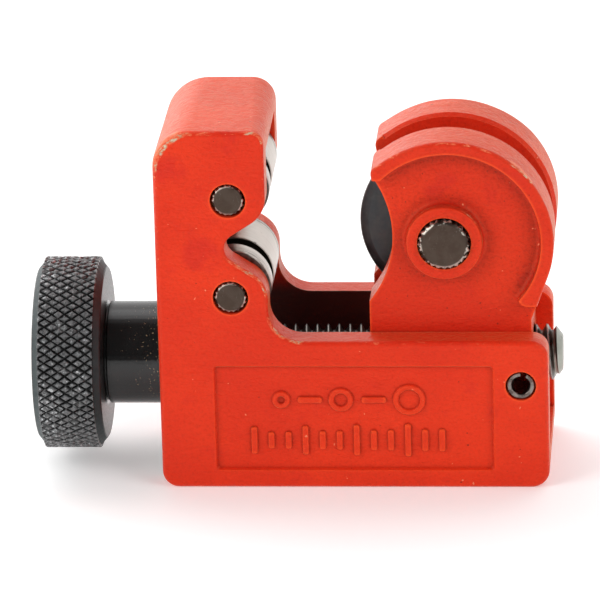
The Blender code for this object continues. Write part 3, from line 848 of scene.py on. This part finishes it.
def make_slider():
    bite_top = math.degrees(math.asin((TIP_BOTTOM - BITE_CENTRE.y) / BITE_RADIUS))
    bite_bottom = -math.degrees(math.acos((SLIDER_LOW.x - BITE_CENTRE.x) / BITE_RADIUS))
    outline = [(SLIDER_LOW.x, SLIDER_LOW.z), (SLIDER_RIGHT, SLIDER_LOW.z), (SLIDER_RIGHT, SHOULDER_Z)]
    *head_arc, arc_end = arc(HEAD_CENTRE, HEAD_RADIUS, -20, ARC_END, 56)
    outline += head_arc
    fall = (arc_end[0] - TIP_X) / math.tan(math.radians(180 - ARC_END))
    tip = eased([arc_end, (TIP_X, arc_end[1] - fall), (TIP_X, TIP_BOTTOM)], 2.2 * MM, steps=7)
    outline += tip[:-1]
    outline += arc(BITE_CENTRE, BITE_RADIUS, bite_top, bite_bottom, 24)

    def widen(x, z, side):
        """The fillets grow round the top of the arc, most at the back."""
        height = min(1, max(0, (z - TIP_BOTTOM - 0.3 * MM) / (2.5 * MM)))
        return 1 + height * (0.7 if side == 1 else 2.0)

    slider = tool(softened_prism(outline, -HEAD_HALF, HEAD_HALF, 0.22 * MM, 0.22 * MM, 4, widen))

    left = SLIDER_LOW.x - 5 * MM
    right = SLIDER_RIGHT + 5 * MM
    inner = HEAD_RADIUS - RIM_WIDTH
    rim_end_angle = math.degrees(math.asin((RIM_END - HEAD_CENTRE.y) / inner))
    rim_end_x = HEAD_CENTRE.x + inner * math.cos(math.radians(rim_end_angle))
    # The rim's lower end is rounded, and the arc takes over 8 degrees above it
    rim_corner = [(right, RIM_END - 0.2 * MM), (rim_end_x + 0.6 * MM, RIM_END - 0.2 * MM),
                  (rim_end_x - 0.1 * MM, RIM_END + 1.1 * MM)]
    recess = [(left, 0), (right, 0)]
    recess += eased(rim_corner, 0.6 * MM, steps=6)[:-1]
    recess += arc(HEAD_CENTRE, inner, rim_end_angle + 8, 135, 44)
    recess += [(left, recess[-1][1] - 0.2 * MM)]
    open_end = HEAD_HALF * 1.3
    cuts = [
        cut(softened_prism(recess, -open_end, -SLIDER_HALF, NO_FILLET, RECESS_FILLET, steps=6)),
        cut(softened_prism(recess, SLIDER_HALF, open_end, RECESS_FILLET, NO_FILLET, steps=6)),
    ]
    boss_half = SLIDER_HIGH.y
    flare = [(BOSS_FOOT, SLIDER_HALF - 0.3 * MM), (BOSS_FOOT, SLIDER_HALF)]
    flare += [(BOSS_RADIUS + (BOSS_FOOT - BOSS_RADIUS) * (1 - math.sin(part * math.pi / 8)),
               SLIDER_HALF + 0.5 * MM * (1 - math.cos(part * math.pi / 8))) for part in range(1, 5)]
    flare += [(BOSS_RADIUS, boss_half - 0.16 * MM), (BOSS_RADIUS - 0.05 * MM, boss_half - 0.05 * MM),
              (BOSS_RADIUS - 0.16 * MM, boss_half), (0, boss_half)]
    profile = [(radius, -height) for radius, height in flare[::-1]] + flare
    cuts.append(("UNION", tool(turned(profile, 96), (AXLE.x, 0, AXLE.z), ALONG_Y)))
    slot = [(left, SLOT_FLOOR), (right, SLOT_FLOOR), (right, TOP), (left, TOP)]
    cuts += [
        cut(prism(slot, -SLOT_HALF, SLOT_HALF)),
        cut(slot_mouth()),
        cut(rod(AXLE_HOLE, -HALF_DEPTH, HALF_DEPTH, 72), (AXLE.x, 0, AXLE.z), ALONG_Y),
        cut(rod(SCREW_HOLE, left, right, 64), *ON_SCREW),
    ]
    half_height = (STOP_HIGH.z - STOP_LOW.z) / 2 + 0.2 * MM
    groove_end = SLIDER_LOW.x + 5.16 * MM
    groove = [(groove_end, STOP.z - half_height), (right, STOP.z - half_height),
              (right, STOP.z + half_height), (groove_end, STOP.z + half_height)]
    cuts.append(cut(prism(groove, -SLIDER_HALF - 1 * MM, -SLIDER_HALF + 1.1 * MM)))
    carve(slider, cuts)
    soften(slider, 0.13 * MM)

    worn = on_front(HEAD_HALF, [
        (*HEAD_CENTRE, 6.6, 6.6, 2.0, 1.0), (*HEAD_CENTRE, 2.0, 9.2, 3.5, 0.35),
        (TIP_X, TIP_BOTTOM, 1.5, 2.0, 2.0, 0.35), (AXLE.x, AXLE.z, 2.3, 2.3, 1.5, 0.8),
    ])
    # On the head the spots above the axle and to the upper right are crimson painted shade under the rim
    blotches_and_shade = on_front(SLIDER_HALF, [
        (AXLE.x, AXLE.z, 0, 4.6, 2.2), (*HEAD_CENTRE, 7.4, -4.2, 1.5), (*HEAD_CENTRE, 5.4, 5.4, 3.0),
    ])
    paint = red_paint("red paint on the cutter head", HEAD_HALF, worn, blotches_and_shade, True)
    finish_piece(slider, "cutter_head_casting", paint, "head", "slider")


def make_rollers(steel):
    half = ROLLER_HALF
    bore = PIN_HIGH.z - LOWER_PIN.z + 0.05 * MM
    groove_front = GROOVE_MIDDLE - GROOVE_HALF
    groove_rear = GROOVE_MIDDLE + GROOVE_HALF
    floor = ROLLER_RADIUS - 1.3 * MM
    chamfer = 0.09 * MM
    outside = [
        (bore, -half), (ROLLER_RADIUS - chamfer, -half), (ROLLER_RADIUS, -half + chamfer),
        (ROLLER_RADIUS, groove_front), (floor, groove_front), (floor, groove_rear),
        (ROLLER_RADIUS, groove_rear), (ROLLER_RADIUS, half - chamfer), (ROLLER_RADIUS - chamfer, half),
        (bore, half),
    ]
    for name in ("lower_roller", "upper_roller"):
        place = middle(name)
        roller = tool(turned(eased(outside, 0.06 * MM), 128, hollow=True), place, ALONG_Y)
        finish_piece(roller, name + "_turned", steel, name, name)


def serrated_pin(radius, half_length, teeth, grip, chamfer, dome):
    """Bmesh of a pin about Z: a smooth shank, and a serrated and chamfered length at each end."""
    notch = radius * 0.10
    shank = radius * 0.965
    half = [
        (0, half_length, 0),
        (radius * 0.45, half_length - dome * 0.25, 0),
        (radius - chamfer * 1.5, half_length - dome, 0),
        (radius - chamfer * 0.5, half_length - dome - chamfer * 0.45, notch * 0.6),
        (radius, half_length - dome - chamfer, notch),
        (radius, half_length - grip, notch),
        (shank, half_length - grip - 0.15 * MM, 0),
    ]
    lower = [(reach, -height, depth) for reach, height, depth in half]
    return turned(lower + half[::-1], sides=2 * teeth)


def make_pins():
    for node, name, label, body, teeth, chamfer, dome in (
            ("lower_roller_pin", "lower_roller_axle", "lower axle", "frame", 18, 0.20 * MM, 0.02 * MM),
            ("upper_roller_pin", "upper_roller_axle", "upper axle", "frame", 18, 0.20 * MM, 0.02 * MM),
            ("cutter_wheel_pin", "wheel_axle", "wheel axle", "head", 24, 0.26 * MM, 0.05 * MM)):
        low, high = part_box(node)
        radius = (high.z - low.z) / 2
        shape = serrated_pin(radius, (high.y - low.y) / 2, teeth, 2.4 * MM, chamfer, dome)
        pin = tool(shape, middle(node), ALONG_Y)
        steel = pin_steel("steel of the " + label, radius)
        finish_piece(pin, name, steel, body, node, sharp=25)


def make_wheel():
    bore = AXLE_HIGH.z - AXLE.z + 0.05 * MM
    hub = 3.6 * MM
    hub_half = (WHEEL_HIGH.y - WHEEL_LOW.y) / 2
    half = [
        (bore, hub_half), (hub - 0.15 * MM, hub_half), (hub, hub_half - 0.15 * MM),
        (hub, 0.60 * MM), (3.75 * MM, 0.48 * MM), (WHEEL_RADIUS - 0.85 * MM, 0.42 * MM),
        (WHEEL_RADIUS - 0.78 * MM, 0.40 * MM), (WHEEL_RADIUS - 0.06 * MM, 0.05 * MM),
        (WHEEL_RADIUS, 0.015 * MM),
    ]
    profile = [(radius, -height) for radius, height in half] + half[::-1]
    wheel = tool(turned(profile, 160, hollow=True), AXLE, ALONG_Y)
    finish_piece(wheel, "cutting_wheel_ground", tool_steel(), "wheel", "cutter_wheel",
                 sharp=20)


def threaded_rod(low, high, steps=48):
    """Bmesh of a right-hand thread about Z; its two ends are ragged, so it has to be trimmed."""
    outline = [(0.0, 1.0), (0.09, 1.0), (0.40, 0.06), (0.46, 0.0), (0.60, 0.0), (0.66, 0.06), (0.97, 1.0)]
    turns = math.ceil((high - low) / THREAD_PITCH)
    shape = bmesh.new()
    columns = []
    for step in range(steps):
        angle = 2 * math.pi * step / steps
        column = []
        for turn in range(turns):
            for phase, height in outline:
                reach = THREAD_RADIUS - THREAD_DEPTH * (1 - height)
                along = low + THREAD_PITCH * (turn + phase + step / steps)
                column.append(shape.verts.new(polar(reach, angle, along)))
        columns.append(column)
    for step, here in enumerate(columns):
        after = columns[(step + 1) % steps]
        shift = len(outline) if step == steps - 1 else 0
        for row in range(len(here) - 1 - shift):
            shape.faces.new((here[row], after[row + shift], after[row + 1 + shift], here[row + 1]))
    bmesh.ops.holes_fill(shape, edges=[edge for edge in shape.edges if edge.is_boundary])
    return shape


def make_screw():
    """Feed screw: a plain shank in the knob and the end wall, a seat for the ring, then the thread."""
    thread_start = LEFT + END_WALL + 0.85 * MM
    end = SCREW_HIGH.x
    ragged = 2 * THREAD_PITCH
    screw = tool(threaded_rod(thread_start - ragged, end + ragged), *ON_SCREW)
    beyond = THREAD_RADIUS + 0.3 * MM
    trim = [(0, thread_start), (RING_SEAT_RADIUS - 0.05 * MM, thread_start),
            (beyond, thread_start + 0.8 * MM), (beyond, end - 0.98 * MM),
            (SCREW_TIP_RADIUS, end - 0.05 * MM), (SCREW_TIP_RADIUS - 0.1 * MM, end), (0, end)]
    carve(screw, [("INTERSECT", tool(turned(trim, 64), *ON_SCREW))])
    shank = [
        (0, SCREW_LOW.x), (SHANK_RADIUS - 0.3 * MM, SCREW_LOW.x), (SHANK_RADIUS, SCREW_LOW.x + 0.3 * MM),
        (SHANK_RADIUS, LEFT + END_WALL - 0.3 * MM), (RING_SEAT_RADIUS, LEFT + END_WALL - 0.1 * MM),
        (RING_SEAT_RADIUS, thread_start + 0.1 * MM), (0, thread_start + 0.1 * MM),
    ]
    carve(screw, [("UNION", tool(turned(shank, 64), *ON_SCREW))])
    finish_piece(screw, "feed_screw_threaded", screw_steel(), "knob", "feed_screw", sharp=28)


def knurled_band(shape, low, high, radius, around, along, depth):
    """Adds a band of raised diamonds about Z to a bmesh and returns its low and high boundary rings."""
    # The noise vectors change from run to run unless they are seeded
    noise.seed_set(1)
    flat = 0.52
    rows = 2 * along
    step_angle = math.pi / around
    step_height = (high - low) / rows
    corners = {}

    def corner(row, column, reach):
        key = (row, column % (2 * around), reach)
        if key not in corners:
            jitter = noise.noise_vector(Vector((key[1] * 0.9, row * 1.3, 3.3)))
            angle = step_angle * (key[1] + 0.30 * jitter.x)
            height = low + step_height * (row + 0.30 * jitter.y * (0 < row < rows))
            reach += 0.16 * MM * max(0, jitter.z)
            corners[key] = shape.verts.new(polar(reach, angle, height))
        return corners[key]

    floor = radius - depth
    for row in range(rows + 1):
        for column in range(2 * around):
            if (row + column) % 2:
                continue
            # A diamond centred on this crossing, with its four corners one step away
            centre_angle = step_angle * column
            centre_height = low + step_height * row
            wear = noise.noise(Vector((centre_angle * 9, centre_height * 2600, 1.7)))
            slip = noise.noise(Vector((centre_angle * 13, centre_height * 3300, 6.1)))
            size = flat * (1 + 0.50 * wear)
            crest = radius - 0.01 * MM - 0.08 * MM * abs(wear)
            tips = []
            outer = []
            for row_step, column_step in ((-1, 0), (0, 1), (1, 0), (0, -1)):
                if not 0 <= row + row_step <= rows:
                    continue
                outer.append(corner(row + row_step, column + column_step, floor))
                angle = centre_angle + step_angle * column_step * size
                height = centre_height + step_height * row_step * size
                tilted = crest - 0.16 * MM * max(0, column_step * slip, row_step * wear)
                tips.append(shape.verts.new(polar(tilted, angle, height)))
            count = len(tips)
            shape.faces.new(tips)
            if count == 4:
                pairs = range(4)
            else:
                pairs = (0, 1) if row == 0 else (0, 2)
            for index in pairs:
                after = (index + 1) % count
                shape.faces.new((outer[index], outer[after], tips[after], tips[index]))
            corners[("tips", row, column)] = (tips, outer)

    low_ring = []
    high_ring = []
    for column in range(0, 2 * around, 2):
        tips, outer = corners[("tips", 0, column)]
        low_ring += [outer[2], tips[2], tips[0]]
        tips, outer = corners[("tips", rows, column)]
        high_ring += [outer[2], tips[2], tips[1]]
    return low_ring, high_ring


def bridge_to_ring(shape, edge, radius, height):
    """Closes the gap between a boundary ring and a plain ring with as many points, which it returns."""
    plain = []
    for vertex in edge:
        angle = math.atan2(vertex.co.y, vertex.co.x)
        plain.append(shape.verts.new(polar(radius, angle, height)))
    join_rings(shape, edge, plain)
    return plain


def make_knob():
    shape = bmesh.new()
    low = KNOB_LOW.x
    high = KNOB_RIGHT
    band_low = low + KNOB_CHAMFER
    band_high = high - KNOB_CHAMFER
    low_ring, high_ring = knurled_band(shape, band_low, band_high, KNOB_RADIUS, 66, 4, 0.27 * MM)
    face = KNOB_RADIUS - 1.03 * MM
    outer_steps = [(KNOB_RADIUS - 0.36 * MM, band_low - 0.08 * MM), (face, low + 0.02 * MM),
                   (face - 0.1 * MM, low), (1.6 * MM, low), (1.5 * MM, low + 0.06 * MM),
                   (0.5 * MM, low + 0.75 * MM)]
    relief = 0.25 * MM
    bore = SHANK_RADIUS + 0.05 * MM
    end = KNOB_HIGH.x
    inner_steps = [(KNOB_RADIUS - 0.36 * MM, band_high + 0.08 * MM), (face, high - 0.02 * MM),
                   (face - 0.1 * MM, high), (HUB_RADIUS - relief + 0.1 * MM, high),
                   (HUB_RADIUS - relief, high + 0.1 * MM), (HUB_RADIUS - relief, high + relief * 0.8),
                   (HUB_RADIUS - 0.08 * MM, high + relief), (HUB_RADIUS, high + relief + 0.08 * MM),
                   (HUB_RADIUS, end - 0.2 * MM), (HUB_RADIUS - 0.15 * MM, end),
                   (bore, end), (bore, end - 1.5 * MM)]
    for edge, steps in ((low_ring, outer_steps), (high_ring, inner_steps)):
        for radius, height in steps:
            edge = bridge_to_ring(shape, edge, radius, height)
        shape.faces.new(edge)
    bmesh.ops.remove_doubles(shape, verts=shape.verts, dist=0.0005 * MM)
    knob = tool(shape, *ON_SCREW)
    finish_piece(knob, "knurled_knob", black_oxide(), "knob", "knob", sharp=24)


def gapped_tube(outer, inner, low, high, gap_middle, gap_angle, chamfer, steps=48):
    """Bmesh of a tube along Y that is open by gap_angle degrees about gap_middle degrees."""
    start = gap_middle + gap_angle / 2
    end = gap_middle - gap_angle / 2 + 360
    rings = []
    for y, inset in ((low, chamfer), (low + chamfer, 0), (high - chamfer, 0), (high, chamfer)):
        outline = arc((0, 0), outer - inset, start, end, steps)
        outline += arc((0, 0), inner + inset, end, start, steps)
        rings.append([(x, y, z) for x, z in outline])
    return loft(rings)


def make_spring_parts(steel):
    radius = (STOP_HIGH.z - STOP_LOW.z) / 2
    shape = gapped_tube(radius, radius - 0.40 * MM, STOP_LOW.y, STOP_HIGH.y, 77, 30, 0.07 * MM)
    pin = tool(shape, (STOP.x, 0, STOP.z))
    finish_piece(pin, "slotted_stop_pin", steel, "frame", "stop_pin")
    radius = (RING_HIGH.y - RING_LOW.y) / 2
    thickness = RING_HIGH.x - RING_LOW.x
    inner = RING_SEAT_RADIUS + 0.06 * MM
    shape = gapped_tube(radius, inner, -thickness, 0, -90, 50, 0.05 * MM)
    ring = tool(shape, (RING_LOW.x, 0, SCREW_Z), (0, 0, math.pi / 2))
    finish_piece(ring, "retaining_ring_spring", steel, "knob", "retaining_ring")


# Studio

def make_floor():
    shape = bmesh.new()
    half = 1.6
    corners = ((-half, -half), (half, -half), (half, half), (-half, half))
    shape.faces.new([shape.verts.new((x, y, 0)) for x, y in corners])
    floor = tool(shape)
    floor.name = "studio_floor"
    made = Finish("studio floor", 0.7)
    cloud = made.noise(3, 2)
    made.surface(made.mix(cloud, (0.93, 0.93, 0.93), (0.95, 0.95, 0.95)),
                 made.span(cloud, 0.3, 0.7, 0.65, 0.75))
    made.feed(made.shader.inputs["Emission Color"], (1, 1, 1))
    made.feed(made.shader.inputs["Emission Strength"], 0.20)
    floor.data.materials.append(made.material)


def area_light(name, place, target, size, power, shape_y=None):
    data = bpy.data.lights.new(name, "AREA")
    data.shape = "RECTANGLE"
    data.size = size
    data.size_y = shape_y or size
    data.energy = power
    made = bpy.data.objects.new(name, data)
    made.location = place
    made.rotation_mode = "QUATERNION"
    made.rotation_quaternion = (Vector(target) - Vector(place)).to_track_quat("-Z", "Y")
    made.visible_camera = False
    bpy.context.scene.collection.objects.link(made)


def make_lights():
    """White backdrop behind, dark room in front, softboxes to the left, to the right and overhead."""
    world = bpy.data.worlds.new("studio")
    world.use_nodes = True
    tree = world.node_tree
    background = tree.nodes["Background"]
    direction = tree.nodes.new("ShaderNodeTexCoord")
    split = tree.nodes.new("ShaderNodeSeparateXYZ")
    tree.links.new(direction.outputs["Generated"], split.inputs[0])

    def fade(axis, low, high, at_low, at_high):
        made = tree.nodes.new("ShaderNodeMapRange")
        tree.links.new(split.outputs[axis], made.inputs[0])
        for socket, value in ((1, low), (2, high), (3, at_low), (4, at_high)):
            made.inputs[socket].default_value = value
        return made.outputs[0]

    brighter_left = fade("X", -0.5, -0.05, LEFT_GLOW, BACKDROP)
    behind = tree.nodes.new("ShaderNodeMath")
    behind.operation = "MULTIPLY"
    tree.links.new(fade("Y", -0.05, 0.45, DARK_ROOM / BACKDROP, 1.0), behind.inputs[0])
    tree.links.new(brighter_left, behind.inputs[1])
    tree.links.new(behind.outputs[0], background.inputs["Strength"])
    background.inputs["Color"].default_value = (1, 1, 1, 1)
    bpy.context.scene.world = world
    area_light("left softbox", (-0.46, -0.34, 0.32), (0, 0, 0.015), 0.36, SIDE_POWER)
    area_light("right softbox", (0.48, -0.32, 0.30), (0, 0, 0.015), 0.36, SIDE_POWER * 0.85)
    area_light("overhead softbox", (0.0, 0.26, 0.52), (0, 0, 0), 0.6, TOP_POWER, 0.3)


def make_camera():
    """Long lens from slightly to the right of the front and about 20 degrees up."""
    target = Vector((0.02 * MM, 0, 15.195 * MM))
    azimuth = math.radians(4.444)
    elevation = math.radians(20.197)
    roll = math.radians(-1.590)
    distance = 0.591
    back = Vector((math.sin(azimuth) * math.cos(elevation),
                   -math.cos(azimuth) * math.cos(elevation), math.sin(elevation)))
    level_right = (-back).cross(Vector((0, 0, 1))).normalized()
    level_up = level_right.cross(-back)
    right = level_right * math.cos(roll) + level_up * math.sin(roll)
    up = level_up * math.cos(roll) - level_right * math.sin(roll)
    data = bpy.data.cameras.new("camera")
    data.sensor_width = 36
    data.lens = 388.66
    data.clip_start = 0.01
    data.clip_end = 10
    camera = bpy.data.objects.new("camera", data)
    turn = Matrix((right, up, back)).transposed().to_4x4()
    camera.matrix_world = Matrix.Translation(target + back * distance) @ turn
    bpy.context.scene.collection.objects.link(camera)
    bpy.context.scene.camera = camera


make_body()
make_slider()
make_rollers(ground_steel())
make_pins()
make_wheel()
make_screw()
make_knob()
make_spring_parts(spring_steel())
make_floor()
make_lights()
make_camera()
bpy.context.scene.view_settings.view_transform = "Standard"
